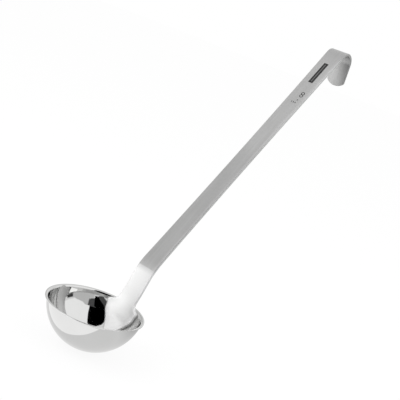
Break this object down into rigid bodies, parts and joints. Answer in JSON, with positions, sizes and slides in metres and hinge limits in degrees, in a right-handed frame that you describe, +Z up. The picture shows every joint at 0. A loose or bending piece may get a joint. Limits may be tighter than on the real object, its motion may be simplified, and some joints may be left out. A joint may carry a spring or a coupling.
{
  "type": "soup ladle",
  "caption": "Steel soup ladle: deep round bowl with a turned-out lip and a long flat strap handle that ends in a hook.",
  "frame": {"origin": "centre of the bowl's rim, on the plane of its top edge", "axes": "+Z up with the bowl level, +X from the bowl towards the handle, +Y across the handle"},
  "size_m": [0.2823, 0.083, 0.2909],
  "materials": {
    "polished_bowl": "mirror-polished stainless steel",
    "satin_handle": "satin stainless steel, brushed along the strap, polished below the bend",
    "weld_metal": "bare weld metal, hidden in the joint"
  },
  "bodies": {
    "root": {"bowl": "polished_bowl", "handle": "satin_handle", "spot_welds": "weld_metal"}
  },
  "joints": []
}
